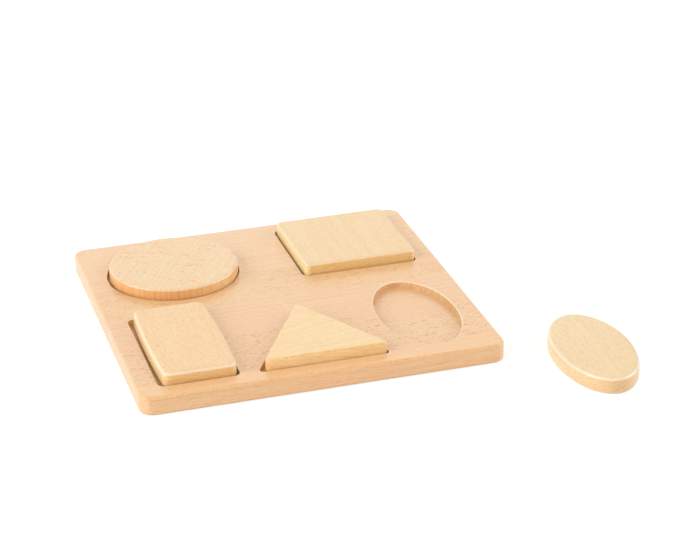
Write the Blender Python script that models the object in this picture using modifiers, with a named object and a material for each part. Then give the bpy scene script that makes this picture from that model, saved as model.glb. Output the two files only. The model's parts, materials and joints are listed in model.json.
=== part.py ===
"""Shape board: an edge-glued beech panel with five shallow recesses and five loose beech shapes.

Metres, +Z up. The origin is the centre of the board's underside, +X runs along the front edge.
Four shapes lie in their recesses, and the oval lies beside the board on the same surface.
The panel comes to 300 mm by 295 mm: it is as wide and as deep as its recesses need.
"""

from math import atan2, copysign, cos, hypot, pi, radians, sin, tan

import bmesh
import bpy
from mathutils import Matrix, Vector

# Panel
BOARD_THICKNESS = 0.016
BOARD_CORNER_RADIUS = 0.011
BOARD_EDGE_ROUND = 0.0022
STAVE_WIDTHS = (0.0233, 0.0623, 0.0584, 0.0573, 0.0587)  # front to back, the back stave takes the rest
SLIMMEST_STAVE = 0.008
GLUE_LINE = 0.0003

# Recesses, routed with a flat-bottomed cutter and broken at the rim
RECESS_DEPTH = 0.0055
RECESS_CORNER_RADIUS = 0.0061
TRIANGLE_RECESS_CORNER_RADIUS = 0.0036
RIM_CHAMFER = 0.0004

# Wood left between the rims and the edges of the board, and from rim to rim
SIDE_MARGIN = 0.0173
DISC_BACK_MARGIN = 0.0165
SQUARE_BACK_MARGIN = 0.0150
RECTANGLE_FRONT_MARGIN = 0.0153
TRIANGLE_FRONT_MARGIN = 0.0157
OVAL_FRONT_MARGIN = 0.0172
RECTANGLE_DISC_WEB = 0.0219
RECTANGLE_TRIANGLE_WEB = 0.0150
TRIANGLE_OVAL_WEB = 0.0100

# Loose shapes
PIECE_THICKNESS = 0.014
DISC_RADIUS = 0.0555
SQUARE_SIDE = 0.0994
SQUARE_CORNER_RADIUS = 0.0050
RECTANGLE_WIDTH = 0.0628
RECTANGLE_LENGTH = 0.1227
RECTANGLE_CORNER_RADIUS = 0.0070
RECTANGLE_BOW = 0.0018  # each long side is sanded in by this much toward its ends
TRIANGLE_BASE = 0.1054
TRIANGLE_HEIGHT = 0.0954
TRIANGLE_CORNER_RADIUS = 0.0038
OVAL_WIDTH = 0.0642
OVAL_LENGTH = 0.1212
SAWN_EDGE_ROUND = 0.0021  # disc, square and triangle
SANDED_EDGE_ROUND = 0.0029  # rectangle and oval

# Play between each shape and its recess wall, all round
DISC_PLAY = 0.0014
SQUARE_PLAY = 0.0016
RECTANGLE_PLAY = 0.0016
TRIANGLE_PLAY = 0.0017
OVAL_PLAY = 0.0008
SEAT_GAP = 0.0003  # under a shape in its recess, and the least gap to its wall

# How far each shape has slid off the middle of its recess, in shares of its free play
DISC_SLID = (0.80, 0.45)
SQUARE_SLID = (0.60, 0.75)
RECTANGLE_SLID = (1.00, 0.50)
TRIANGLE_SLID = (1.30, -0.95)
SQUARE_TURN = radians(0.35)

# The oval lies out of its recess, to the right of the board and forward of its front edge
OVAL_APART = 0.0332
OVAL_FORWARD = 0.0205
OVAL_TURN = radians(-2.3)

# Facets of round outlines and of rounded edges
CORNER_STEPS = 8
SIDE_STEPS = 12
ROUND_STEPS = 96
EDGE_STEPS = 3
EDGE_ANGLE = radians(40)
WELD_DISTANCE = 0.00001
FLAT_ANGLE = radians(0.5)
CUTTER_OVERRUN = 0.010
RIM_OVERLAP = 0.0004


def clear_scene():
    for thing in list(bpy.data.objects):
        bpy.data.objects.remove(thing, do_unlink=True)


def new_collection(name):
    collection = bpy.data.collections.new(name)
    bpy.context.scene.collection.children.link(collection)
    return collection


def beech(name, colour, roughness=0.62):
    material = bpy.data.materials.new(name)
    material.use_nodes = True
    shader = material.node_tree.nodes["Principled BSDF"]
    shader.inputs["Base Color"].default_value = (*colour, 1.0)
    shader.inputs["Roughness"].default_value = roughness
    shader.inputs["Metallic"].default_value = 0.0
    return material


def ellipse(half_width, half_length):
    turns = [2 * pi * step / ROUND_STEPS for step in range(ROUND_STEPS)]
    return [(half_width * cos(turn), half_length * sin(turn)) for turn in turns]


def box_corners(width, length):
    x, y = width / 2, length / 2
    return [(x, y), (-x, y), (-x, -y), (x, -y)]


def triangle_corners(grow=0.0):
    """Isosceles triangle with its incentre at the origin, each side moved out by grow."""
    leg = hypot(TRIANGLE_BASE / 2, TRIANGLE_HEIGHT)
    inradius = TRIANGLE_BASE * TRIANGLE_HEIGHT / (TRIANGLE_BASE + 2 * leg)
    scale = (inradius + grow) / inradius
    half_base = scale * TRIANGLE_BASE / 2
    base_y = -scale * inradius
    return [(half_base, base_y), (0.0, base_y + scale * TRIANGLE_HEIGHT), (-half_base, base_y)]


def rounded(corners, radius):
    """Outline through the corners, anticlockwise, each one replaced by an arc."""
    points = []
    for index, corner in enumerate(corners):
        here = Vector(corner)
        before = (Vector(corners[index - 1]) - here).normalized()
        after = (Vector(corners[(index + 1) % len(corners)]) - here).normalized()
        half_angle = before.angle(after) / 2
        centre = here + (before + after).normalized() * radius / sin(half_angle)
        start = here + before * radius / tan(half_angle) - centre
        sweep = pi - 2 * half_angle
        first = atan2(start.y, start.x)
        for step in range(CORNER_STEPS + 1):
            turn = first + sweep * step / CORNER_STEPS
            points.append((centre.x + radius * cos(turn), centre.y + radius * sin(turn)))
    return points


def bowed(outline, half_length, bow):
    """Outline whose long sides, along Y, are fullest in the middle and drawn in toward the ends."""
    points = []
    for index, start in enumerate(outline):
        end = outline[(index + 1) % len(outline)]
        steps = SIDE_STEPS if abs(end[1] - start[1]) > half_length else 1
        for step in range(steps):
            x = start[0] + (end[0] - start[0]) * step / steps
            y = start[1] + (end[1] - start[1]) * step / steps
            points.append((x - copysign(bow * (y / half_length) ** 2, x), y))
    return points


def curve_solid(name, outline, collection, half_thickness, bevel=0.0, offset=0.0):
    """Closed mesh from a filled flat outline, centred on z = 0. A bevel widens it to a lozenge."""
    curve = bpy.data.curves.new(name, "CURVE")
    curve.dimensions = "2D"
    curve.fill_mode = "BOTH"
    curve.extrude = half_thickness
    curve.bevel_depth = bevel
    curve.bevel_resolution = 0
    curve.offset = offset
    spline = curve.splines.new("POLY")
    spline.points.add(len(outline) - 1)
    for point, place in zip(spline.points, outline):
        point.co = (place[0], place[1], 0.0, 1.0)
    spline.use_cyclic_u = True
    drawn = bpy.data.objects.new(name + "_outline", curve)
    collection.objects.link(drawn)
    evaluated = drawn.evaluated_get(bpy.context.evaluated_depsgraph_get())
    mesh = bpy.data.meshes.new_from_object(evaluated)
    solid = bpy.data.objects.new(name, mesh)
    solid.matrix_world = drawn.matrix_world.copy()
    collection.objects.link(solid)
    bpy.data.objects.remove(drawn, do_unlink=True)
    shape = bmesh.new()
    shape.from_mesh(mesh)
    bmesh.ops.remove_doubles(shape, verts=shape.verts, dist=WELD_DISTANCE)
    bmesh.ops.dissolve_limit(shape, angle_limit=FLAT_ANGLE, verts=shape.verts, edges=shape.edges)
    bmesh.ops.recalc_face_normals(shape, faces=shape.faces)
    shape.to_mesh(mesh)
    shape.free()
    return solid


def lift_mesh(mesh, height):
    mesh.transform(Matrix.Translation((0.0, 0.0, height)))


def round_edges(solid, width):
    bevel = solid.modifiers.new("round_edges", "BEVEL")
    bevel.width = width
    bevel.segments = EDGE_STEPS
    bevel.limit_method = "ANGLE"
    bevel.angle_limit = EDGE_ANGLE


def boolean(solid, other, operation):
    cut = solid.modifiers.new(other.name, "BOOLEAN")
    cut.operation = operation
    cut.object = other
    cut.solver = "EXACT"


def smooth(solid):
    solid.data.shade_smooth()
    solid.data.set_sharp_from_angle(angle=EDGE_ANGLE)


def helper(solid):
    solid.hide_render = True
    solid.display_type = "WIRE"


def recess_outlines():
    """Wall of each recess: the shape's own outline, grown by its play."""
    square_side = SQUARE_SIDE + 2 * SQUARE_PLAY
    rectangle = box_corners(RECTANGLE_WIDTH + 2 * RECTANGLE_PLAY, RECTANGLE_LENGTH + 2 * RECTANGLE_PLAY)
    return {
        "disc": ellipse(DISC_RADIUS + DISC_PLAY, DISC_RADIUS + DISC_PLAY),
        "square": rounded(box_corners(square_side, square_side), RECESS_CORNER_RADIUS),
        "rectangle": rounded(rectangle, RECESS_CORNER_RADIUS),
        "triangle": rounded(triangle_corners(TRIANGLE_PLAY), TRIANGLE_RECESS_CORNER_RADIUS),
        "oval": ellipse(OVAL_WIDTH / 2 + OVAL_PLAY, OVAL_LENGTH / 2 + OVAL_PLAY),
    }


def rim_box(outline):
    """Lowest and highest corner of a recess rim, chamfer and all, about the recess's own centre."""
    rim = Vector((RIM_CHAMFER, RIM_CHAMFER))
    lowest = Vector((min(point[0] for point in outline), min(point[1] for point in outline)))
    highest = Vector((max(point[0] for point in outline), max(point[1] for point in outline)))
    return lowest - rim, highest + rim


def lay_out(outlines):
    """Size of the board, and the centre of each recess on it."""
    rims = {name: rim_box(outline) for name, outline in outlines.items()}
    sizes = {name: high - low for name, (low, high) in rims.items()}
    webs = RECTANGLE_TRIANGLE_WEB + TRIANGLE_OVAL_WEB
    front_row = sizes["rectangle"].x + sizes["triangle"].x + sizes["oval"].x
    left_column = sizes["rectangle"].y + RECTANGLE_DISC_WEB + sizes["disc"].y
    board = Vector((
        2 * SIDE_MARGIN + front_row + webs,
        RECTANGLE_FRONT_MARGIN + left_column + DISC_BACK_MARGIN,
    ))
    left, right = SIDE_MARGIN - board.x / 2, board.x / 2 - SIDE_MARGIN
    front, back = -board.y / 2, board.y / 2
    triangle_left = left + sizes["rectangle"].x + RECTANGLE_TRIANGLE_WEB
    centres = {
        "disc": (left - rims["disc"][0].x, back - DISC_BACK_MARGIN - rims["disc"][1].y),
        "square": (right - rims["square"][1].x, back - SQUARE_BACK_MARGIN - rims["square"][1].y),
        "rectangle": (
            left - rims["rectangle"][0].x,
            front + RECTANGLE_FRONT_MARGIN - rims["rectangle"][0].y,
        ),
        "triangle": (
            triangle_left - rims["triangle"][0].x,
            front + TRIANGLE_FRONT_MARGIN - rims["triangle"][0].y,
        ),
        "oval": (right - rims["oval"][1].x, front + OVAL_FRONT_MARGIN - rims["oval"][0].y),
    }
    return board, centres


def recess_cutter(name, outline, centre, cutters):
    """Straight pocket down to the recess floor, joined to a lozenge that breaks the rim."""
    top = CUTTER_OVERRUN / 2
    pocket = curve_solid(name, outline, cutters, (RECESS_DEPTH + top) / 2)
    pocket.location = (*centre, BOARD_THICKNESS + (top - RECESS_DEPTH) / 2)
    lozenge = RIM_CHAMFER + RIM_OVERLAP
    rim = curve_solid(name + "_rim", outline, cutters, 0.0, bevel=lozenge, offset=-RIM_OVERLAP)
    rim.location = (*centre, BOARD_THICKNESS)
    helper(pocket)
    helper(rim)
    boolean(pocket, rim, "UNION")
    return pocket


def sawn_lines(depth):
    """Y of each glue line, front to back, with both outer edges of the board."""
    lines = [-depth / 2]
    for width in STAVE_WIDTHS:
        if lines[-1] + width < depth / 2 - SLIMMEST_STAVE:
            lines.append(lines[-1] + width)
    return lines + [depth / 2]


def saw_slab(number, low, high, width, cutters):
    """Box that keeps one stave of the blank, from low to high along Y."""
    mesh = bpy.data.meshes.new(f"saw_slab_{number}")
    size = (width + 2 * CUTTER_OVERRUN, high - low, BOARD_THICKNESS + 2 * CUTTER_OVERRUN)
    shape = bmesh.new()
    bmesh.ops.create_cube(shape, size=1.0, matrix=Matrix.Diagonal((*size, 1.0)))
    shape.to_mesh(mesh)
    shape.free()
    slab = bpy.data.objects.new(mesh.name, mesh)
    slab.location = (0.0, (low + high) / 2, BOARD_THICKNESS / 2)
    cutters.objects.link(slab)
    helper(slab)
    return slab


def make_board(parts, cutters, outlines, board, centres):
    """Staves sawn from one rounded blank, with a glue line between neighbours."""
    blank_outline = rounded(box_corners(board.x, board.y), BOARD_CORNER_RADIUS)
    blank = curve_solid("board_blank", blank_outline, cutters, BOARD_THICKNESS / 2)
    lift_mesh(blank.data, BOARD_THICKNESS / 2)
    helper(blank)
    pockets = {}
    for name, outline in outlines.items():
        pockets[name] = recess_cutter(name + "_recess", outline, centres[name], cutters)
    tones = (
        (0.860, 0.610, 0.392),
        (0.835, 0.575, 0.368),
        (0.850, 0.590, 0.372),
        (0.850, 0.592, 0.380),
        (0.865, 0.615, 0.395),
        (0.870, 0.620, 0.405),
    )
    lines = sawn_lines(board.y)
    staves = []
    for number, (front, back, tone) in enumerate(zip(lines, lines[1:], tones), 1):
        low = front + GLUE_LINE / 2 if front > lines[0] else front - CUTTER_OVERRUN
        high = back - GLUE_LINE / 2 if back < lines[-1] else back + CUTTER_OVERRUN
        stave = bpy.data.objects.new(f"board_stave_{number}", blank.data.copy())
        parts.objects.link(stave)
        stave.data.materials.append(beech(f"beech_stave_{number}", tone))
        round_edges(stave, BOARD_EDGE_ROUND)
        boolean(stave, saw_slab(number, low, high, board.x, cutters), "INTERSECT")
        for name, outline in outlines.items():
            nearest, farthest = rim_box(outline)
            if centres[name][1] + nearest.y < high and centres[name][1] + farthest.y > low:
                boolean(stave, pockets[name], "DIFFERENCE")
        smooth(stave)
        staves.append(stave)
    return staves


def make_piece(name, outline, place, turn, edge, colour, parts):
    """Loose shape with its origin in its underside, on the line it lifts along."""
    piece = curve_solid(name, outline, parts, PIECE_THICKNESS / 2)
    lift_mesh(piece.data, PIECE_THICKNESS / 2)
    piece.location = place
    piece.rotation_euler = (0.0, 0.0, turn)
    piece.data.materials.append(beech("beech_" + name, colour, roughness=0.58))
    round_edges(piece, edge)
    smooth(piece)
    return piece


def seat(centre, slid, play):
    """Place on the recess floor, slid off the middle without touching a wall."""
    free = play - SEAT_GAP
    return (
        centre[0] + slid[0] * free,
        centre[1] + slid[1] * free,
        BOARD_THICKNESS - RECESS_DEPTH + SEAT_GAP,
    )


def make_disc(parts, centre):
    outline = ellipse(DISC_RADIUS, DISC_RADIUS)
    place = seat(centre, DISC_SLID, DISC_PLAY)
    colour = (0.880, 0.660, 0.430)
    return make_piece("disc_piece", outline, place, 0.0, SAWN_EDGE_ROUND, colour, parts)


def make_square(parts, centre):
    outline = rounded(box_corners(SQUARE_SIDE, SQUARE_SIDE), SQUARE_CORNER_RADIUS)
    place = seat(centre, SQUARE_SLID, SQUARE_PLAY)
    colour = (0.890, 0.665, 0.405)
    return make_piece("square_piece", outline, place, SQUARE_TURN, SAWN_EDGE_ROUND, colour, parts)


def make_rectangle(parts, centre):
    corners = box_corners(RECTANGLE_WIDTH, RECTANGLE_LENGTH)
    outline = bowed(rounded(corners, RECTANGLE_CORNER_RADIUS), RECTANGLE_LENGTH / 2, RECTANGLE_BOW)
    place = seat(centre, RECTANGLE_SLID, RECTANGLE_PLAY)
    colour = (0.875, 0.650, 0.405)
    return make_piece("rectangle_piece", outline, place, 0.0, SANDED_EDGE_ROUND, colour, parts)


def make_triangle(parts, centre):
    outline = rounded(triangle_corners(), TRIANGLE_CORNER_RADIUS)
    place = seat(centre, TRIANGLE_SLID, TRIANGLE_PLAY)
    colour = (0.905, 0.700, 0.425)
    return make_piece("triangle_piece", outline, place, 0.0, SAWN_EDGE_ROUND, colour, parts)


def make_oval(parts, board):
    outline = ellipse(OVAL_WIDTH / 2, OVAL_LENGTH / 2)
    place = (board.x / 2 + OVAL_APART + OVAL_WIDTH / 2, -board.y / 2 - OVAL_FORWARD, 0.0)
    colour = (0.895, 0.675, 0.430)
    return make_piece("oval_piece", outline, place, OVAL_TURN, SANDED_EDGE_ROUND, colour, parts)


clear_scene()
parts = new_collection("shape_board")
cutters = new_collection("cutters")
outlines = recess_outlines()
board, centres = lay_out(outlines)
pieces = make_board(parts, cutters, outlines, board, centres)
pieces.append(make_disc(parts, centres["disc"]))
pieces.append(make_square(parts, centres["square"]))
pieces.append(make_rectangle(parts, centres["rectangle"]))
pieces.append(make_triangle(parts, centres["triangle"]))
pieces.append(make_oval(parts, board))
base = bpy.data.objects.new("shape_board_base", None)
parts.objects.link(base)
for piece in pieces:
    piece.parent = base
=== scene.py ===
"""Shape board of bare beech: a glued-up panel with five shallow recesses and five loose shapes.

Metres, +Z up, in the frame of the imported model, whose origin is the centre of the board's underside.
"""

import json
from math import atan2, copysign, cos, hypot, pi, radians, sin, tan
from types import SimpleNamespace

import bmesh
import bpy
from mathutils import Matrix, Vector, noise


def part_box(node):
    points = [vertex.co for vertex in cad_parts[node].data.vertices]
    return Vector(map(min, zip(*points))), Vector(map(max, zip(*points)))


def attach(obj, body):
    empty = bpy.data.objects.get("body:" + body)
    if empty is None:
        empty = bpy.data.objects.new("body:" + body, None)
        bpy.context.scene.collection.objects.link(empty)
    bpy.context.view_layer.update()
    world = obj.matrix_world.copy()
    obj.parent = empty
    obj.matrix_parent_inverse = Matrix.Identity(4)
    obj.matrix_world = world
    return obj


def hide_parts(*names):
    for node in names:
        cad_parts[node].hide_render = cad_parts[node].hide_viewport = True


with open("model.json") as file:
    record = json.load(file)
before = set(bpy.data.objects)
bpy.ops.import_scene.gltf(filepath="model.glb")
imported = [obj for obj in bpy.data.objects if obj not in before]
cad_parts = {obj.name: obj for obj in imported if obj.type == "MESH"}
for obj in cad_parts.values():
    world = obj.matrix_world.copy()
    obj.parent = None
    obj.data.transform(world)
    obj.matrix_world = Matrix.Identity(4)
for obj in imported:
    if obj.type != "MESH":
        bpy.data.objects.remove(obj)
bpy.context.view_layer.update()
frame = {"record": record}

# Camera, in front of the board's left half and looking down on it at 25 degrees.
# A long lens from nearly two metres off, held about one degree out of level.
CAMERA_TURN = radians(-16.28)
CAMERA_DOWN = radians(24.90)
CAMERA_ROLL = radians(-1.06)
CAMERA_DISTANCE = 1.8986
CAMERA_AIM = Vector((0.0746, 0.0425, 0.0))
LENS_MM = 111.9

forward = Vector((
    -sin(CAMERA_TURN) * cos(CAMERA_DOWN),
    cos(CAMERA_TURN) * cos(CAMERA_DOWN),
    -sin(CAMERA_DOWN),
))
lens = bpy.data.cameras.new("camera")
lens.lens = LENS_MM
camera = bpy.data.objects.new("camera", lens)
camera.rotation_mode = "QUATERNION"
camera.rotation_quaternion = (
    forward.to_track_quat("-Z", "Y") @ Matrix.Rotation(CAMERA_ROLL, 3, "Z").to_quaternion()
)
camera.location = CAMERA_AIM - forward * CAMERA_DISTANCE
bpy.context.scene.collection.objects.link(camera)
bpy.context.scene.camera = camera
bpy.context.scene.view_settings.view_transform = "Standard"

# Light of a white studio: a pale room, a broad soft window on either side and weak ones front and back.
# The table is a white sheet that carries on behind the board, and it keeps a faint shadow.
ROOM_STRENGTH = 0.39
WINDOW_SIZE = 4.0
WINDOWS = {
    "left_window": (Vector((-4.4, -0.5, 2.4)), 182.0),
    "right_window": (Vector((4.4, -0.5, 2.4)), 128.0),
    "back_window": (Vector((0.3, 4.4, 2.4)), 29.0),
    "front_window": (Vector((-0.5, -4.4, 2.4)), 45.0),
}
TABLE_SIZE = 7.0
TABLE_HEIGHT = -0.0002  # just clear of the undersides, which lie at 0
TABLE_WHITE = 0.80
TABLE_GLOW = 0.42


def seen_directly(tree):
    """1 for what the camera sees, straight or in gloss or through glass, and 0 for light on the object."""
    rays = tree.nodes.new("ShaderNodeLightPath")
    total = rays.outputs["Is Camera Ray"]
    for kind in ("Is Glossy Ray", "Is Transmission Ray"):
        add = tree.nodes.new("ShaderNodeMath")
        add.operation = "MAXIMUM"
        tree.links.new(total, add.inputs[0])
        tree.links.new(rays.outputs[kind], add.inputs[1])
        total = add.outputs[0]
    return total


room = bpy.data.worlds.new("white_room")
room.use_nodes = True
backdrop = room.node_tree.nodes["Background"]
backdrop.inputs["Color"].default_value = (1.0, 1.0, 1.0, 1.0)
room_level = room.node_tree.nodes.new("ShaderNodeMapRange")
room_level.inputs["To Min"].default_value = ROOM_STRENGTH
room_level.inputs["To Max"].default_value = 1.0
room.node_tree.links.new(seen_directly(room.node_tree), room_level.inputs["Value"])
room.node_tree.links.new(room_level.outputs["Result"], backdrop.inputs["Strength"])
bpy.context.scene.world = room

for name, (place, power) in WINDOWS.items():
    window = bpy.data.lights.new(name, "AREA")
    window.shape = "SQUARE"
    window.size = WINDOW_SIZE
    window.energy = power
    lamp = bpy.data.objects.new(name, window)
    lamp.location = place
    lamp.rotation_mode = "QUATERNION"
    lamp.rotation_quaternion = (-place).to_track_quat("-Z", "Y")
    bpy.context.scene.collection.objects.link(lamp)

table_mesh = bpy.data.meshes.new("table")
table_shape = bmesh.new()
bmesh.ops.create_grid(table_shape, x_segments=1, y_segments=1, size=TABLE_SIZE / 2)
table_shape.to_mesh(table_mesh)
table_shape.free()
table = bpy.data.objects.new("table", table_mesh)
table.location.z = TABLE_HEIGHT
bpy.context.scene.collection.objects.link(table)
sheet = bpy.data.materials.new("white_sheet")
sheet.use_nodes = True
sheet_tree = sheet.node_tree
sheet_tree.nodes.clear()
matt = sheet_tree.nodes.new("ShaderNodeBsdfDiffuse")
matt.inputs["Color"].default_value = (TABLE_WHITE, TABLE_WHITE, TABLE_WHITE, 1.0)
glow = sheet_tree.nodes.new("ShaderNodeEmission")
glow.inputs["Color"].default_value = (TABLE_GLOW, TABLE_GLOW, TABLE_GLOW, 1.0)
lit = sheet_tree.nodes.new("ShaderNodeAddShader")
surface = sheet_tree.nodes.new("ShaderNodeOutputMaterial")
sheet_tree.links.new(seen_directly(sheet_tree), glow.inputs["Strength"])
sheet_tree.links.new(matt.outputs[0], lit.inputs[0])
sheet_tree.links.new(glow.outputs[0], lit.inputs[1])
sheet_tree.links.new(lit.outputs[0], surface.inputs["Surface"])
table_mesh.materials.append(sheet)

# Board: six staves of solid beech, glued edge to edge, planed flat and sanded round at the edges.
# The five recesses are routed through the staves with a flat-bottomed cutter and broken at the rim.
# The same beech, cut another way through the log, makes the loose shapes.
CORNER_STEPS = 12
ROUND_STEPS = 144
EDGE_STEPS = 6
SHARP_ANGLE = radians(40)
FLAT_MARGIN = 0.0006  # flat kept beside a rounded edge, so that its shading stays in the edge
SANDING_SPAN = 0.035  # how far along an edge the hand's pressure changes
SAW_OVERRUN = 0.010
LEVEL = 0.999  # a face whose normal is this much upright is flat

BOARD_CORNER_RADIUS = 0.011
BOARD_EDGE_ROUND = 0.0022
BOARD_UNEVEN = 0.06  # share by which the rounding of an edge comes and goes
RECESS_DEPTH = 0.0055
DISC_RECESS_RADIUS = 0.0569
SQUARE_RECESS_SIDE = 0.1026
RECTANGLE_RECESS_WIDTH = 0.0660
RECTANGLE_RECESS_LENGTH = 0.1259
RECESS_CORNER_RADIUS = 0.0061
TRIANGLE_BASE = 0.1054
TRIANGLE_HEIGHT = 0.0954
TRIANGLE_PLAY = 0.0017
TRIANGLE_RECESS_CORNER_RADIUS = 0.0036
OVAL_RECESS_WIDTH = 0.0658
OVAL_RECESS_LENGTH = 0.1228
RIM_ROUND = 0.0008
RIM_TURN = radians(72)  # short of a quarter turn, so that the rim stays crisp
RIM_STEPS = 4
RIM_EASE = 0.0004  # the sandpaper rides up to the rim and eases the flat beside it
RIM_EASE_SLOPE = radians(3)


def ellipse(half_width, half_length):
    turns = [2 * pi * step / ROUND_STEPS for step in range(ROUND_STEPS)]
    return [Vector((half_width * cos(turn), half_length * sin(turn))) for turn in turns]


def rounded(corners, radius):
    """Outline through the corners, anticlockwise, each one replaced by an arc."""
    points = []
    for index, corner in enumerate(corners):
        before = (corners[index - 1] - corner).normalized()
        after = (corners[(index + 1) % len(corners)] - corner).normalized()
        half_angle = before.angle(after) / 2
        centre = corner + (before + after).normalized() * radius / sin(half_angle)
        start = corner + before * radius / tan(half_angle) - centre
        first = atan2(start.y, start.x)
        for step in range(CORNER_STEPS + 1):
            turn = first + (pi - 2 * half_angle) * step / CORNER_STEPS
            points.append(centre + radius * Vector((cos(turn), sin(turn))))
    return points


def rounded_box(width, length, radius):
    x, y = width / 2, length / 2
    return rounded([Vector((x, y)), Vector((-x, y)), Vector((-x, -y)), Vector((x, -y))], radius)


def rounded_triangle(base, height, grow, radius):
    """Isosceles triangle about the centre of its inscribed circle, each side moved out by grow."""
    leg = hypot(base / 2, height)
    inradius = base * height / (base + 2 * leg)
    scale = (inradius + grow) / inradius
    low = -scale * inradius
    tip = Vector((0.0, low + scale * height))
    return rounded([Vector((scale * base / 2, low)), tip, Vector((-scale * base / 2, low))], radius)


def moved(outline, shift):
    return [point + Vector(shift) for point in outline]


def middle(outline):
    """Centre of the box round an outline."""
    across = [point.x for point in outline]
    along = [point.y for point in outline]
    return Vector(((min(across) + max(across)) / 2, (min(along) + max(along)) / 2))


def outward(outline):
    """Direction square to the outline at each point, lengthened at corners to keep the sides parallel."""
    directions = []
    for index, point in enumerate(outline):
        into = (point - outline[index - 1]).normalized()
        out = (outline[(index + 1) % len(outline)] - point).normalized()
        along = (into + out).normalized()
        square = Vector((along.y, -along.x))
        directions.append(square / max(0.5, along.dot(into)))
    return directions


def skin(name, rings):
    """Closed mesh through rings of points, from the lowest to the highest, with flat ends."""
    shape = bmesh.new()
    loops = [[shape.verts.new(point) for point in ring] for ring in rings]
    for lower, upper in zip(loops, loops[1:]):
        for index in range(len(lower)):
            shape.faces.new((lower[index - 1], lower[index], upper[index], upper[index - 1]))
    shape.faces.new(reversed(loops[0]))
    shape.faces.new(loops[-1])
    bmesh.ops.recalc_face_normals(shape, faces=shape.faces)
    mesh = bpy.data.meshes.new(name)
    shape.to_mesh(mesh)
    shape.free()
    mesh.shade_smooth()
    solid = bpy.data.objects.new(name, mesh)
    bpy.context.scene.collection.objects.link(solid)
    return solid


def sanded_block(name, outline, low, high, edge, uneven):
    """Block with both edges sanded round, a little more here and a little less there."""
    square = outward(outline)
    edges = []
    for point in outline:
        pressure = noise.noise(Vector((point.x, point.y, low)) / SANDING_SPAN)
        edges.append(edge * (1.0 + uneven * pressure))
    turns = [pi / 2 * step / EDGE_STEPS for step in range(EDGE_STEPS + 1)]
    rounding = [(1 - sin(turn), 1 - cos(turn)) for turn in turns]

    def ring(inset, margin, level, rise):
        points = []
        for point, direction, own in zip(outline, square, edges):
            flat = point - direction * (inset * own + margin)
            points.append((flat.x, flat.y, level + rise * own))
        return points

    rings = [ring(1.0, FLAT_MARGIN, low, 0.0)]
    rings += [ring(inset, 0.0, low, lift) for inset, lift in rounding]
    rings += [ring(inset, 0.0, high, -lift) for inset, lift in reversed(rounding)]
    rings.append(ring(1.0, FLAT_MARGIN, high, 0.0))
    return skin(name, rings)


def router_cut(name, outline, floor, top):
    """What router and sandpaper take away: a straight pocket that opens out round the broken rim."""
    square = outward(outline)

    def ring(out, level):
        points = []
        for point, direction in zip(outline, square):
            wide = point + direction * out
            points.append((wide.x, wide.y, level))
        return points

    broken = RIM_ROUND * (1 - cos(RIM_TURN))
    low_rim = top - RIM_EASE * tan(RIM_EASE_SLOPE)
    rings = [ring(0.0, floor), ring(0.0, low_rim - RIM_ROUND * sin(RIM_TURN))]
    for step in range(1, RIM_STEPS + 1):
        turn = RIM_TURN * step / RIM_STEPS
        rings.append(ring(RIM_ROUND * (1 - cos(turn)), low_rim + RIM_ROUND * (sin(turn) - sin(RIM_TURN))))
    clear = 3 * RIM_EASE  # runs on above the board's face
    rings.append(ring(broken + clear, low_rim + clear * tan(RIM_EASE_SLOPE)))
    return skin(name, rings)


def cut(solid, other, operation):
    step = solid.modifiers.new(other.name, "BOOLEAN")
    step.operation = operation
    step.object = other
    step.solver = "EXACT"


def finish_cuts(solid):
    """Keeps the cut shape as a plain mesh, sharp at its corners and even on its flats."""
    solid.data = bpy.data.meshes.new_from_object(
        solid.evaluated_get(bpy.context.evaluated_depsgraph_get())
    )
    solid.modifiers.clear()
    solid.data.shade_smooth()
    solid.data.set_sharp_from_angle(angle=SHARP_ANGLE)
    even = solid.modifiers.new("even_flats", "WEIGHTED_NORMAL")
    even.keep_sharp = True


def wire(tree, source, target):
    """Sets a socket to a value, or joins another socket to it."""
    if isinstance(source, bpy.types.NodeSocket):
        tree.links.new(source, target)
    else:
        target.default_value = source


def reckon(tree, operation, *terms, clamp=False):
    step = tree.nodes.new("ShaderNodeMath")
    step.operation = operation
    step.use_clamp = clamp
    for term, socket in zip(terms, step.inputs):
        wire(tree, term, socket)
    return step.outputs[0]


def vector_of(tree, operation, *terms):
    step = tree.nodes.new("ShaderNodeVectorMath")
    step.operation = operation
    for term, socket in zip(terms, step.inputs):
        wire(tree, term, socket)
    return step.outputs["Value" if operation in ("LENGTH", "DOT_PRODUCT") else "Vector"]


def mottle(tree, place, stretch, detail=2.0, roughness=0.5):
    """Soft noise between 0 and 1, with lumps 1/stretch metres long each way."""
    step = tree.nodes.new("ShaderNodeTexNoise")
    step.inputs["Scale"].default_value = 1.0
    step.inputs["Detail"].default_value = detail
    step.inputs["Roughness"].default_value = roughness
    wire(tree, vector_of(tree, "MULTIPLY", place, stretch), step.inputs["Vector"])
    return step


def ramp(tree, value, start, end, low=0.0, high=1.0):
    step = tree.nodes.new("ShaderNodeMapRange")
    step.interpolation_type = "SMOOTHSTEP"
    for socket, setting in zip(("Value", "From Min", "From Max", "To Min", "To Max"),
                               (value, start, end, low, high)):
        wire(tree, setting, step.inputs[socket])
    return step.outputs["Result"]


def blend(tree, share, under, over):
    step = tree.nodes.new("ShaderNodeMix")
    step.data_type = "RGBA"
    step.clamp_factor = True
    wire(tree, share, step.inputs["Factor"])
    wire(tree, under, step.inputs["A"])
    wire(tree, over, step.inputs["B"])
    return step.outputs["Result"]


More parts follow.
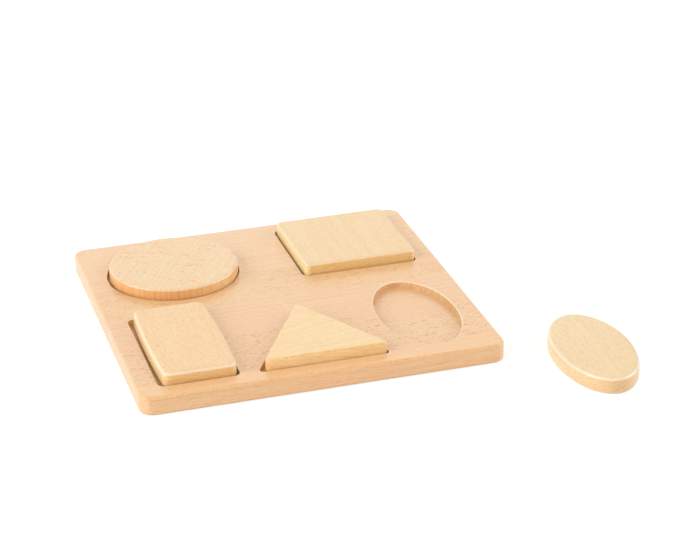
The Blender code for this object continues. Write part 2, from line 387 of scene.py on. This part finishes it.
def tint(tree, colour, share, by):
    """Colour multiplied by another, as far as share says."""
    step = tree.nodes.new("ShaderNodeMix")
    step.data_type = "RGBA"
    step.blend_type = "MULTIPLY"
    step.clamp_factor = True
    wire(tree, share, step.inputs["Factor"])
    wire(tree, colour, step.inputs["A"])
    wire(tree, by if isinstance(by, bpy.types.NodeSocket) else (*by, 1.0), step.inputs["B"])
    return step.outputs["Result"]


RING_WIDTH = 0.0031  # one year's growth, in most of the pieces
YEAR_LUMPS = 0.55  # swings between wide and narrow, to the year
YEAR_SPREAD = 1.2  # how unevenly wide the years are
LATE_RISE = (0.40, 0.92)  # shares of a year over which its wood darkens
LATE_FALL = (1.0, 0.94)  # and over which it turns pale again
TRUNK_WANDER = 0.0042  # how far the trunk strays from straight
RAY_LENGTH = 0.0055  # along the grain, from one ray to the next
RAY_SPACING = 0.0012  # round the rings
RAY_DEPTH = 0.034  # out from the heart
RAY_SLANT = 0.32  # off the grain, for every unit along it
RAY_STAGGER = 3.0  # ray lengths by which neighbours are out of step
RAY_RIM = (0.38, 0.24)  # from nothing to full, toward the middle of a ray
RAY_BOLDNESS = (0.10, 0.95, 0.12, 1.0)  # from faint to bold, as chance has it
RAY_ON_SIDES = 0.30  # share of their strength that rays keep on upright faces
RINGS_ON_END = 2.0  # times their strength, added to it on end grain

# Lumps of each kind of mottling to the metre: along the grain, across it and square to both
TRUNK_BENDS = (7.0, 28.0, 28.0)
RAY_LUMPS = (60.0, 330.0, 330.0)
FIBRE_LUMPS = (22.0, 1100.0, 1100.0)
FLECK_LUMPS = (190.0, 650.0, 650.0)
PORE_LUMPS = (420.0, 5200.0, 5200.0)
STREAK_LUMPS = (3.5, 150.0, 150.0)
DRIFT_LUMPS = (5.0, 26.0, 26.0)
# mottling of the painted shade on front-facing edges
FRONT_SHADE_MOTTLE_LUMPS = (560.0, 800.0, 800.0)
CUTTER_LUMPS = (420.0, 420.0, 30.0)

# What each feature does to the colour of the wood, and where on its mottling it starts and ends
STREAK, STREAK_SPAN = (0.985, 0.945, 0.900), (0.42, 0.72, 0.0, 0.55)
DRIFT, DRIFT_SPAN = (1.010, 0.960, 0.960), (0.40, 0.70, 0.0, 0.60)
LATE_WOOD = (0.970, 0.850, 0.740)
FIBRE, FIBRE_SPAN = (0.950, 0.860, 0.750), (0.42, 0.68)
FIBRE_ON_TOP = 0.4
FIBRE_ON_SIDES = 0.6  # added to that on upright faces along the grain
FLECK, FLECK_SPAN = (0.970, 0.905, 0.830), (0.45, 0.70, 0.0, 0.90)
RAY_RIBBON = (0.980, 0.640, 0.450, 1.0)  # laid open by a quartered cut
RAY_DASH = (0.700, 0.330, 0.170, 1.0)  # cut across
PORE, PORE_SPAN, PORE_SHARE = (0.880, 0.800, 0.730), (0.56, 0.72), 0.30
END_GRAIN = (0.898, 0.700, 0.512)
# Pale cream on sanded edges, rims and corners: partly the paler sanded wood, partly a painted highlight.
PALE_EDGE_AND_HIGHLIGHT = (0.980, 0.860, 0.710, 1.0)
CUTTER_MARK, CUTTER_SPAN = (0.900, 0.820, 0.720), (0.38, 0.62)
# Darker colour on the routed end-grain walls of the recesses.
END_WALL_DARKENING = (0.800, 0.850, 0.770)
# Painted shade on the edges that face the front: golden, and deeper where a mottle says.
FRONT_EDGE_SHADE = (1.000, 0.930, 0.780)
FRONT_EDGE_SHADE_MOTTLE, FRONT_SHADE_MOTTLE_SPAN = (0.960, 0.800, 0.500), (0.46, 0.58)

# Slopes at which an edge counts as sanded, a rim as eased, a corner as pale, partly worn wood and partly a
# painted highlight, and a face as the front
EDGE_SLOPE = (0.03, 0.22)
RIM_SLOPE = (0.90, 0.98, 0.0, 0.45)
CORNER_SLOPE = (0.06, 0.24)
FRONT_SLOPE = (-0.20, -0.50)

# How dull the wood is, and what each feature adds to that and to its height
DULLNESS = 0.19
DULLNESS_SANDED = -0.05
DULLNESS_ROUTED = 0.25
DULLNESS_FIBRE = 0.10
DULLNESS_PORE = 0.10
DULLNESS_RAY = -0.10
HEIGHT_FIBRE = 0.55
HEIGHT_PORE = -0.20
HEIGHT_LATE = 0.20
HEIGHT_RAY = -0.30


def log_group():
    """Empty group with the sockets that a piece of wood sets, and those that its shader reads."""
    log = bpy.data.node_groups.new("beech_log", "ShaderNodeTree")
    for name, kind in (
        ("Place", "NodeSocketVector"), ("Facing", "NodeSocketVector"), ("Radius", "NodeSocketFloat"),
        ("Tone", "NodeSocketColor"), ("Rings", "NodeSocketFloat"), ("Rays", "NodeSocketFloat"),
        ("End grain", "NodeSocketFloat"), ("Pale edge and highlight", "NodeSocketFloat"),
        ("Front edge shade", "NodeSocketFloat"), ("Routed", "NodeSocketFloat"), ("Corners", "NodeSocketFloat"),
        ("Painted side light", "NodeSocketColor"), ("Ring width", "NodeSocketFloat"), ("Ray size", "NodeSocketFloat"),
    ):
        log.interface.new_socket(name, in_out="INPUT", socket_type=kind)
    for name, kind in (
        ("Colour", "NodeSocketColor"), ("Roughness", "NodeSocketFloat"), ("Height", "NodeSocketFloat"),
    ):
        log.interface.new_socket(name, in_out="OUTPUT", socket_type=kind)
    return log


def wandering(log, straight):
    """The trunk wanders a little, so the rings and the rays in it do too."""
    wander = mottle(log, straight, TRUNK_BENDS).outputs["Color"]
    lean = vector_of(log, "SCALE", vector_of(log, "SUBTRACT", wander, (0.5, 0.5, 0.5)))
    lean.node.inputs["Scale"].default_value = TRUNK_WANDER
    return vector_of(log, "ADD", straight, lean)


def late_wood(log, out, ring_width):
    """Growth rings, each one darkening slowly to a thin late line."""
    years = reckon(log, "DIVIDE", out, ring_width)
    spread = log.nodes.new("ShaderNodeTexNoise")
    spread.noise_dimensions = "1D"
    spread.inputs["Scale"].default_value = YEAR_LUMPS
    spread.inputs["Detail"].default_value = 0.0
    wire(log, years, spread.inputs["W"])
    season = reckon(log, "FRACT", reckon(log, "MULTIPLY_ADD", spread.outputs[0], YEAR_SPREAD, years))
    return reckon(log, "MULTIPLY", ramp(log, season, *LATE_RISE), ramp(log, season, *LATE_FALL))


def ray_flecks(log, place, out, radius, size):
    """Rays, thin sheets that run out from the heart: dashes, ribbons or lines as the cut goes."""
    split = log.nodes.new("ShaderNodeSeparateXYZ")
    wire(log, place, split.inputs[0])
    along, across, deep = split.outputs
    turn = reckon(log, "MULTIPLY", reckon(log, "ARCTAN2", deep, across), radius)
    turn = reckon(log, "MULTIPLY_ADD", along, RAY_SLANT, turn)
    stagger = mottle(log, place, RAY_LUMPS, detail=1.0).outputs[0]
    length = reckon(log, "MULTIPLY", size, RAY_LENGTH)
    spacing = reckon(log, "MULTIPLY", size, RAY_SPACING)
    cell = log.nodes.new("ShaderNodeCombineXYZ")
    wire(log, reckon(log, "MULTIPLY_ADD", stagger, RAY_STAGGER, reckon(log, "DIVIDE", along, length)),
         cell.inputs[0])
    wire(log, reckon(log, "DIVIDE", turn, spacing), cell.inputs[1])
    wire(log, reckon(log, "DIVIDE", out, RAY_DEPTH), cell.inputs[2])
    ray = log.nodes.new("ShaderNodeTexVoronoi")
    ray.inputs["Scale"].default_value = 1.0
    wire(log, cell.outputs[0], ray.inputs["Vector"])
    chance = log.nodes.new("ShaderNodeSeparateColor")
    wire(log, ray.outputs["Color"], chance.inputs[0])
    boldness = ramp(log, chance.outputs[0], *RAY_BOLDNESS)
    return reckon(log, "MULTIPLY", ramp(log, ray.outputs["Distance"], *RAY_RIM), boldness)


def slopes(log, given):
    """How far the surface faces along the grain or up, where it was sanded or routed, and which edges face
    the front to take painted shade.
    """
    facing = log.nodes.new("ShaderNodeSeparateXYZ")
    wire(log, given["Facing"], facing.inputs[0])
    along, across, up = facing.outputs
    end_grain = reckon(log, "POWER", along, 2.0)
    level = reckon(log, "POWER", up, 2.0)
    steep = reckon(log, "SUBTRACT", 1.0, level)
    edge = ramp(log, reckon(log, "MULTIPLY", level, steep), *EDGE_SLOPE)
    rim = reckon(log, "MULTIPLY", ramp(log, level, *RIM_SLOPE), given["Routed"])
    corner = reckon(log, "MULTIPLY", end_grain, reckon(log, "POWER", across, 2.0))
    sanded = reckon(log, "MULTIPLY_ADD", ramp(log, corner, *CORNER_SLOPE), given["Corners"],
                    reckon(log, "MAXIMUM", edge, rim), clamp=True)
    # Edges that face the front, where painted shade goes.
    front_edge = reckon(log, "MULTIPLY", reckon(log, "MULTIPLY", edge, given["Front edge shade"]),
                        ramp(log, across, *FRONT_SLOPE))
    return SimpleNamespace(
        end_grain=end_grain, level=level, steep=steep, sanded=sanded, front_edge=front_edge,
        walls=reckon(log, "MULTIPLY", steep, given["Routed"]),
    )


def grain_colour(log, given, place, slope, late, fibre):
    """The tone of the piece with its streaks, rings, fibres and flecks."""
    streak = mottle(log, place, STREAK_LUMPS, detail=3.0).outputs[0]
    drift = mottle(log, place, DRIFT_LUMPS, detail=1.0).outputs[0]
    fleck = mottle(log, place, FLECK_LUMPS, detail=1.0).outputs[0]
    rings = reckon(log, "MULTIPLY", reckon(log, "MULTIPLY_ADD", slope.end_grain, RINGS_ON_END, 1.0),
                   given["Rings"])
    side_grain = reckon(log, "SUBTRACT", slope.steep, slope.end_grain)
    fibres = reckon(log, "MULTIPLY", ramp(log, fibre, *FIBRE_SPAN),
                    reckon(log, "MULTIPLY_ADD", side_grain, FIBRE_ON_SIDES, FIBRE_ON_TOP))
    colour = tint(log, given["Tone"], ramp(log, streak, *STREAK_SPAN), STREAK)
    colour = tint(log, colour, ramp(log, drift, *DRIFT_SPAN), DRIFT)
    colour = tint(log, colour, reckon(log, "MULTIPLY", late, rings), LATE_WOOD)
    colour = tint(log, colour, fibres, FIBRE)
    colour = tint(log, colour, ramp(log, fleck, *FLECK_SPAN), FLECK)
    return colour


def worked_colour(log, given, place, slope, colour):
    """What saw, router and sandpaper did to the colour of the wood's faces and edges, with painted light
    and shade on the upright faces, pale edges and rims that are partly a painted highlight, and painted
    shade on the edges that face the front.
    """
    # Mottle for the painted shade on front-facing edges.
    front_shade_mottle = mottle(log, place, FRONT_SHADE_MOTTLE_LUMPS, detail=2.0).outputs[0]
    tool = mottle(log, place, CUTTER_LUMPS, detail=2.0).outputs[0]
    colour = tint(log, colour, reckon(log, "MULTIPLY", slope.end_grain, given["End grain"]), END_GRAIN)
    # Painted light and shade on the upright faces: their tint lightens or darkens the sides as the light
    # fell on them.
    colour = tint(log, colour, slope.steep, given["Painted side light"])
    # Pale cream on sanded edges, rims and corners: partly the paler sanded wood, partly a painted
    # highlight.
    pale = reckon(log, "MULTIPLY", slope.sanded, given["Pale edge and highlight"])
    colour = blend(log, pale, colour, PALE_EDGE_AND_HIGHLIGHT)
    cutter_marks = reckon(log, "MULTIPLY", slope.walls, ramp(log, tool, *CUTTER_SPAN))
    colour = tint(log, colour, cutter_marks, CUTTER_MARK)
    # Darker on the routed end-grain walls of the recesses.
    colour = tint(log, colour, reckon(log, "MULTIPLY", slope.walls, slope.end_grain), END_WALL_DARKENING)
    # Painted shade on the edges that face the front, golden and mottled.
    colour = tint(log, colour, slope.front_edge, FRONT_EDGE_SHADE)
    front_shade_mottled = reckon(log, "MULTIPLY", slope.front_edge, ramp(log, front_shade_mottle, *FRONT_SHADE_MOTTLE_SPAN))
    return tint(log, colour, front_shade_mottled, FRONT_EDGE_SHADE_MOTTLE)


def beech_log():
    """Solid beech about the heart of its log: X runs along the grain, the rings lie round X."""
    log = log_group()
    given = log.nodes.new("NodeGroupInput").outputs
    result = log.nodes.new("NodeGroupOutput").inputs
    place = wandering(log, given["Place"])
    from_heart = vector_of(log, "MULTIPLY", place, (0.0, 1.0, 1.0))
    out = vector_of(log, "LENGTH", from_heart)
    slope = slopes(log, given)
    late = late_wood(log, out, given["Ring width"])
    dash = ray_flecks(log, place, out, given["Radius"], given["Ray size"])
    rays = reckon(log, "MULTIPLY", reckon(log, "MULTIPLY", dash, given["Rays"]),
                  ramp(log, slope.level, 0.0, 1.0, RAY_ON_SIDES, 1.0), clamp=True)
    fibre = mottle(log, place, FIBRE_LUMPS, detail=3.0).outputs[0]
    pores = ramp(log, mottle(log, place, PORE_LUMPS, detail=1.0).outputs[0], *PORE_SPAN)

    colour = grain_colour(log, given, place, slope, late, fibre)
    squareness = vector_of(log, "DOT_PRODUCT", vector_of(log, "NORMALIZE", from_heart), given["Facing"])
    cut_across = reckon(log, "POWER", reckon(log, "ABSOLUTE", squareness), 2.0)
    colour = tint(log, colour, rays, blend(log, cut_across, RAY_RIBBON, RAY_DASH))
    colour = tint(log, colour, reckon(log, "MULTIPLY", pores, PORE_SHARE), PORE)
    wire(log, worked_colour(log, given, place, slope, colour), result["Colour"])

    dullness = reckon(log, "MULTIPLY_ADD", slope.sanded, DULLNESS_SANDED, DULLNESS)
    dullness = reckon(log, "MULTIPLY_ADD", slope.walls, DULLNESS_ROUTED, dullness)
    dullness = reckon(log, "MULTIPLY_ADD", fibre, DULLNESS_FIBRE, dullness)
    dullness = reckon(log, "MULTIPLY_ADD", pores, DULLNESS_PORE, dullness)
    wire(log, reckon(log, "MULTIPLY_ADD", rays, DULLNESS_RAY, dullness), result["Roughness"])

    relief = reckon(log, "MULTIPLY", fibre, HEIGHT_FIBRE)
    relief = reckon(log, "MULTIPLY_ADD", pores, HEIGHT_PORE, relief)
    relief = reckon(log, "MULTIPLY_ADD", late, HEIGHT_LATE, relief)
    wire(log, reckon(log, "MULTIPLY_ADD", rays, HEIGHT_RAY, relief), result["Height"])
    return log


BEECH_LOG = beech_log()
RELIEF = 0.00008  # the height of the grain that can be felt
NAP = 0.10  # the fine fuzz that sanding leaves, which whitens the wood where it is seen aslant
NAP_SPREAD = 0.35
SURFACE_IOR = 1.58
ADRIFT = 0.9  # each piece comes from another part of the log, this far along


def beech(name, number, tone, centre, grain, heart, rings, rays,
          tilt=0.0, end=0.36, pale=0.2, front_edge_shade=0.0, routed=0.0, corners=0.0,
          painted_side_light=(1.07, 1.06, 1.09), ring_width=RING_WIDTH, ray_size=1.0):
    """Sanded beech. grain is the turn of the grain in plan, tilt its rise out of the plan,
    and heart the place of the log's heart across the grain and below, from the centre of the piece.
    rings, rays, end, pale, routed and corners say how strongly each shows, and the front-edge setting says
    how strongly painted shade darkens the edges that face the front.
    The pale edge is partly the paler sanded wood and partly a painted highlight.
    The tint of upright faces is painted light and shade, lightening or darkening the sides as the light
    fell on them."""
    material = bpy.data.materials.new(name)
    material.use_nodes = True
    tree = material.node_tree
    shader = tree.nodes["Principled BSDF"]
    where = tree.nodes.new("ShaderNodeTexCoord")
    turned = Matrix.Rotation(tilt, 3, "Y") @ Matrix.Rotation(-grain, 3, "Z")
    into_log = tree.nodes.new("ShaderNodeMapping")
    into_log.inputs["Rotation"].default_value = turned.to_euler()
    into_log.inputs["Location"].default_value = (
        Vector((number * ADRIFT, -heart[0], -heart[1])) - turned @ Vector(centre)
    )
    tree.links.new(where.outputs["Object"], into_log.inputs["Vector"])
    facing_log = tree.nodes.new("ShaderNodeMapping")
    facing_log.vector_type = "VECTOR"
    facing_log.inputs["Rotation"].default_value = turned.to_euler()
    tree.links.new(where.outputs["Normal"], facing_log.inputs["Vector"])
    wood = tree.nodes.new("ShaderNodeGroup")
    wood.node_tree = BEECH_LOG
    for socket, setting in {
        "Place": into_log.outputs[0], "Facing": facing_log.outputs[0], "Radius": hypot(*heart),
        "Tone": (*tone, 1.0), "Rings": rings, "Rays": rays, "End grain": end, "Pale edge and highlight": pale,
        "Front edge shade": front_edge_shade, "Routed": routed, "Corners": corners, "Painted side light": (*painted_side_light, 1.0),
        "Ring width": ring_width, "Ray size": ray_size,
    }.items():
        wire(tree, setting, wood.inputs[socket])
    shader.inputs["IOR"].default_value = SURFACE_IOR
    shader.inputs["Sheen Weight"].default_value = NAP
    shader.inputs["Sheen Roughness"].default_value = NAP_SPREAD
    relief = tree.nodes.new("ShaderNodeBump")
    relief.inputs["Strength"].default_value = 1.0
    relief.inputs["Distance"].default_value = RELIEF
    tree.links.new(wood.outputs["Height"], relief.inputs["Height"])
    tree.links.new(wood.outputs["Colour"], shader.inputs["Base Color"])
    tree.links.new(wood.outputs["Roughness"], shader.inputs["Roughness"])
    tree.links.new(relief.outputs[0], shader.inputs["Normal"])
    return material


STAVES = {
    "board_stave_1": dict(
        tone=(0.872, 0.566, 0.290), heart=(0.060, -0.050), rings=0.48, rays=0.15, tilt=radians(0.8),
    ),
    "board_stave_2": dict(
        tone=(0.850, 0.563, 0.290), heart=(0.008, -0.075), rings=0.38, rays=1.00, tilt=radians(-0.5),
    ),
    "board_stave_3": dict(
        tone=(0.860, 0.565, 0.312), heart=(0.085, 0.040), rings=1.00, rays=0.12, tilt=radians(1.0),
    ),
    "board_stave_4": dict(
        tone=(0.840, 0.552, 0.270), heart=(-0.010, -0.090), rings=0.45, rays=0.60, tilt=radians(0.6),
    ),
    "board_stave_5": dict(
        tone=(0.888, 0.598, 0.323), heart=(-0.030, 0.080), rings=0.42, rays=0.40, tilt=radians(-0.9),
    ),
    "board_stave_6": dict(
        tone=(0.875, 0.586, 0.328), heart=(0.075, -0.030), rings=0.45, rays=0.10, tilt=radians(0.5),
    ),
}

# The wall of each recess, and how far its shape lies from its middle, across and along
OPENING = frame["record"]["physics"]["openings"][0]["box_m"]
oval_middle = (Vector(OPENING[0]) + Vector(OPENING[1])) / 2
RECESSES = {
    "disc_piece": (ellipse(DISC_RECESS_RADIUS, DISC_RECESS_RADIUS), (0.00088, 0.00050)),
    "square_piece": (
        rounded_box(SQUARE_RECESS_SIDE, SQUARE_RECESS_SIDE, RECESS_CORNER_RADIUS), (0.00078, 0.00098),
    ),
    "rectangle_piece": (
        rounded_box(RECTANGLE_RECESS_WIDTH, RECTANGLE_RECESS_LENGTH, RECESS_CORNER_RADIUS),
        (0.00130, 0.00065),
    ),
    "triangle_piece": (
        rounded_triangle(TRIANGLE_BASE, TRIANGLE_HEIGHT, TRIANGLE_PLAY, TRIANGLE_RECESS_CORNER_RADIUS),
        (0.00182, -0.00133),
    ),
}
oval_wall = moved(ellipse(OVAL_RECESS_WIDTH / 2, OVAL_RECESS_LENGTH / 2), oval_middle.to_2d())

# A light scratch on the third stave, in plan
SCRATCH_START = Vector((-0.0035, -0.0122))
SCRATCH_END = Vector((0.0010, -0.0300))
SCRATCH_WIDTH = 0.0008
SCRATCH_BITES_IN = 0.2  # shares of its length over which it comes up to its full strength and fades
SCRATCH_FADES_OUT = 0.4
TORN_WOOD = (0.990, 0.840, 0.660, 1.0)


def scratched(material, start, end, level):
    """Tears up a pale line across a flat face that lies at this level."""
    tree = material.node_tree
    length = (end - start).length
    where = tree.nodes.new("ShaderNodeTexCoord")
    onto = tree.nodes.new("ShaderNodeMapping")
    onto.vector_type = "TEXTURE"
    onto.inputs["Location"].default_value = (*start, level)
    onto.inputs["Rotation"].default_value = (0.0, 0.0, atan2(end.y - start.y, end.x - start.x))
    tree.links.new(where.outputs["Object"], onto.inputs["Vector"])
    split = tree.nodes.new("ShaderNodeSeparateXYZ")
    tree.links.new(onto.outputs[0], split.inputs[0])
    along, across, above = split.outputs
    line = ramp(tree, reckon(tree, "ABSOLUTE", across), SCRATCH_WIDTH / 2, 0.0)
    line = reckon(tree, "MULTIPLY", line, ramp(tree, along, 0.0, SCRATCH_BITES_IN * length))
    line = reckon(tree, "MULTIPLY", line, ramp(tree, along, length, (1 - SCRATCH_FADES_OUT) * length))
    line = reckon(tree, "MULTIPLY", line, ramp(tree, above, -SCRATCH_WIDTH, 0.0))
    colour = tree.nodes["Principled BSDF"].inputs["Base Color"]
    wire(tree, blend(tree, line, colour.links[0].from_socket, TORN_WOOD), colour)


def at(node):
    """Middle of the place that the frame has for a node."""
    low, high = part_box(node)
    return (low + high) / 2


low_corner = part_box("board_stave_1")[0]
high_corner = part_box("board_stave_6")[1]
board_size = high_corner - low_corner
board_outline = rounded_box(board_size.x, board_size.y, BOARD_CORNER_RADIUS)
board_outline = moved(board_outline, ((low_corner + high_corner) / 2).to_2d())
recess_floor = high_corner.z - RECESS_DEPTH
pockets = [router_cut("oval_recess", oval_wall, recess_floor, high_corner.z)]
for node, (wall, off_middle) in RECESSES.items():
    place = at(node).to_2d() - middle(wall) - Vector(off_middle)
    pockets.append(router_cut(node + "_recess", moved(wall, place), recess_floor, high_corner.z))

nodes = list(STAVES)
glue_lines = [low_corner.y - SAW_OVERRUN]
for before, behind in zip(nodes, nodes[1:]):
    glue_lines.append((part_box(before)[1].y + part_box(behind)[0].y) / 2)
glue_lines.append(high_corner.y + SAW_OVERRUN)

for index, (node, wood) in enumerate(STAVES.items()):
    stave = sanded_block(
        node + "_wood", board_outline, low_corner.z, high_corner.z, BOARD_EDGE_ROUND, BOARD_UNEVEN
    )
    front, back = glue_lines[index:index + 2]
    reach = board_size.x
    sawn = [(-reach, front), (reach, front), (reach, back), (-reach, back)]
    saw = skin(node + "_saw", [
        [(*corner, level) for corner in sawn] for level in (-SAW_OVERRUN, 3 * SAW_OVERRUN)
    ])
    cut(stave, saw, "INTERSECT")
    for pocket in pockets:
        cut(stave, pocket, "DIFFERENCE")
    finish_cuts(stave)
    bpy.data.objects.remove(saw, do_unlink=True)
    stave.data.materials.clear()
    common = dict(wood, centre=at(node), grain=0.0)
    # The board's faces: painted shade on its front-facing edges, pale sanded edges and corners that are
    # partly a painted highlight, and painted light on its sides.
    stave.data.materials.append(beech(
        "beech_stave_" + node[-1], index, end=0.08, pale=0.15, front_edge_shade=1.0, corners=0.5,
        painted_side_light=(1.07, 1.07, 1.13), **common,
    ))
    recess_wood = len(stave.data.materials)
    # The recess walls and rims: pale rims, partly the paler sanded wood and partly a painted highlight,
    # and painted light and shade on the walls.
    stave.data.materials.append(beech(
        "beech_recess_" + node[-1], index, end=0.0, pale=1.0, routed=1.0,
        painted_side_light=(1.02, 1.08, 1.17), **common,
    ))
    if node == "board_stave_3":
        scratched(stave.data.materials[0], SCRATCH_START, SCRATCH_END, high_corner.z)
    for face in stave.data.polygons:
        inside = all(
            low_side + 2 * BOARD_EDGE_ROUND < spot < high_side - 2 * BOARD_EDGE_ROUND
            for low_side, spot, high_side in zip(low_corner.xy, face.center.xy, high_corner.xy)
        )
        glued = any(abs(face.center.y - line) < FLAT_MARGIN / 10 for line in glue_lines)
        if inside and not glued and abs(face.normal.z) < LEVEL:
            face.material_index = recess_wood
    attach(stave, "board")
    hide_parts(node)
for pocket in pockets:
    bpy.data.objects.remove(pocket, do_unlink=True)

# Disc: sawn from a quartered plank, so the rays show as ribbons across its face.
# The rings stand on edge and show as stripes down its rim, which is only lightly broken.
DISC_PLAY = 0.0014
DISC_RADIUS = DISC_RECESS_RADIUS - DISC_PLAY
DISC_EDGE_ROUND = 0.0021
DISC_UNEVEN = 0.10


def loose_shape(node, outline, edge, uneven, material, turn=0.0):
    """Shape sawn to its outline and sanded, laid where the frame has its node."""
    low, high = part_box(node)
    spun = [point.copy() for point in outline]
    for point in spun:
        point.rotate(Matrix.Rotation(turn, 2))
    laid = moved(spun, at(node).to_2d() - middle(spun))
    shape = sanded_block(node.replace("_piece", "_shape"), laid, low.z, high.z, edge, uneven)
    shape.data.materials.append(material)
    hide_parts(node)
    return shape


# The disc's upright rim is tinted darker and redder, painted shade.
disc_wood = beech(
    "beech_disc", number=7, tone=(0.852, 0.628, 0.340), centre=at("disc_piece"), grain=radians(58),
    heart=(-0.090, 0.003), rings=0.45, rays=0.75, pale=0.3, end=0.65, painted_side_light=(1.06, 0.97, 0.87),
    ring_width=0.0048, ray_size=1.3,
)
disc = loose_shape(
    "disc_piece", ellipse(DISC_RADIUS, DISC_RADIUS), DISC_EDGE_ROUND, DISC_UNEVEN, disc_wood,
)
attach(disc, "disc")

# Square: a slice off a flat-sawn plank, with the grain running from front to back.
# Its rings cross the front and back faces at a slant.
SQUARE_PLAY = 0.0016
SQUARE_SIDE = SQUARE_RECESS_SIDE - 2 * SQUARE_PLAY
SQUARE_CORNER_RADIUS = 0.0050
SQUARE_EDGE_ROUND = 0.0021
SQUARE_UNEVEN = 0.10
SQUARE_TURN = radians(0.35)
# The square's upright faces are tinted much paler and yellower, painted light on its sides.
square_wood = beech(
    "beech_square", number=8, tone=(0.865, 0.630, 0.322), centre=at("square_piece"), grain=radians(90),
    heart=(-0.035, -0.105), rings=0.30, rays=0.15, pale=0.3, end=0.86, corners=0.5,
    painted_side_light=(1.14, 1.35, 1.52),
)
square = loose_shape(
    "square_piece", rounded_box(SQUARE_SIDE, SQUARE_SIDE, SQUARE_CORNER_RADIUS),
    SQUARE_EDGE_ROUND, SQUARE_UNEVEN, square_wood, SQUARE_TURN,
)
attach(square, "square")

# Rectangle: sawn along the grain, its long sides sanded in toward the ends by the belt.
# Its edges are sanded rounder than the others.
RECTANGLE_PLAY = 0.0016
RECTANGLE_WIDTH = RECTANGLE_RECESS_WIDTH - 2 * RECTANGLE_PLAY
RECTANGLE_LENGTH = RECTANGLE_RECESS_LENGTH - 2 * RECTANGLE_PLAY
RECTANGLE_CORNER_RADIUS = 0.0070
RECTANGLE_BOW = 0.0018
RECTANGLE_EDGE_ROUND = 0.0029
RECTANGLE_UNEVEN = 0.14
SIDE_STEPS = 16


def bowed(outline, half_length, bow):
    """Outline whose long sides are fullest in the middle and drawn in toward the ends."""
    points = []
    for index, start in enumerate(outline):
        end = outline[(index + 1) % len(outline)]
        steps = SIDE_STEPS if abs(end.y - start.y) > half_length else 1
        for step in range(steps):
            point = start.lerp(end, step / steps)
            point.x -= copysign(bow * (point.y / half_length) ** 2, point.x)
            points.append(point)
    return points


# The rectangle's upright faces are tinted much paler and yellower, painted light on its sides.
rectangle_wood = beech(
    "beech_rectangle", number=9, tone=(0.890, 0.612, 0.303), centre=at("rectangle_piece"),
    grain=radians(90), heart=(0.020, -0.090), rings=0.30, rays=0.45, pale=0.5, end=0.86,
    painted_side_light=(1.12, 1.35, 1.54), ray_size=0.7,
)
rectangle_outline = bowed(
    rounded_box(RECTANGLE_WIDTH, RECTANGLE_LENGTH, RECTANGLE_CORNER_RADIUS),
    RECTANGLE_LENGTH / 2, RECTANGLE_BOW,
)
rectangle = loose_shape(
    "rectangle_piece", rectangle_outline, RECTANGLE_EDGE_ROUND, RECTANGLE_UNEVEN, rectangle_wood,
)
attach(rectangle, "rectangle")

# Triangle: the palest of the five, with the grain along its base.
# The cut runs close to the rings, which meet its face in long arches.
TRIANGLE_CORNER_RADIUS = 0.0038
TRIANGLE_EDGE_ROUND = 0.0021
TRIANGLE_UNEVEN = 0.10
# The triangle carries painted shade on its front-facing edges and a tint of painted light on its sides.
triangle_wood = beech(
    "beech_triangle", number=10, tone=(0.905, 0.675, 0.333), centre=at("triangle_piece"),
    grain=radians(2), heart=(0.022, -0.045), rings=0.50, rays=0.05, tilt=radians(-6.0), pale=0.0,
    front_edge_shade=1.0,
)
triangle = loose_shape(
    "triangle_piece", rounded_triangle(TRIANGLE_BASE, TRIANGLE_HEIGHT, 0.0, TRIANGLE_CORNER_RADIUS),
    TRIANGLE_EDGE_ROUND, TRIANGLE_UNEVEN, triangle_wood,
)
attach(triangle, "triangle")

# Oval: lies on the table beside the board, with its grain along its length.
# The rings show as arcs on the end grain at its two ends, and its edges are sanded well round.
OVAL_PLAY = 0.0008
OVAL_WIDTH = OVAL_RECESS_WIDTH - 2 * OVAL_PLAY
OVAL_LENGTH = OVAL_RECESS_LENGTH - 2 * OVAL_PLAY
OVAL_EDGE_ROUND = 0.0029
OVAL_UNEVEN = 0.12
OVAL_TURN = radians(-2.3)
# The oval's sides carry a slight tint of painted light, and its pale edges are partly a painted highlight.
oval_wood = beech(
    "beech_oval", number=11, tone=(0.887, 0.678, 0.377), centre=at("oval_piece"),
    grain=radians(90) + OVAL_TURN, heart=(-0.018, -0.055), rings=0.30, rays=0.25, pale=0.6,
    painted_side_light=(1.05, 1.00, 1.03),
)
oval = loose_shape(
    "oval_piece", ellipse(OVAL_WIDTH / 2, OVAL_LENGTH / 2),
    OVAL_EDGE_ROUND, OVAL_UNEVEN, oval_wood, OVAL_TURN,
)
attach(oval, "oval")
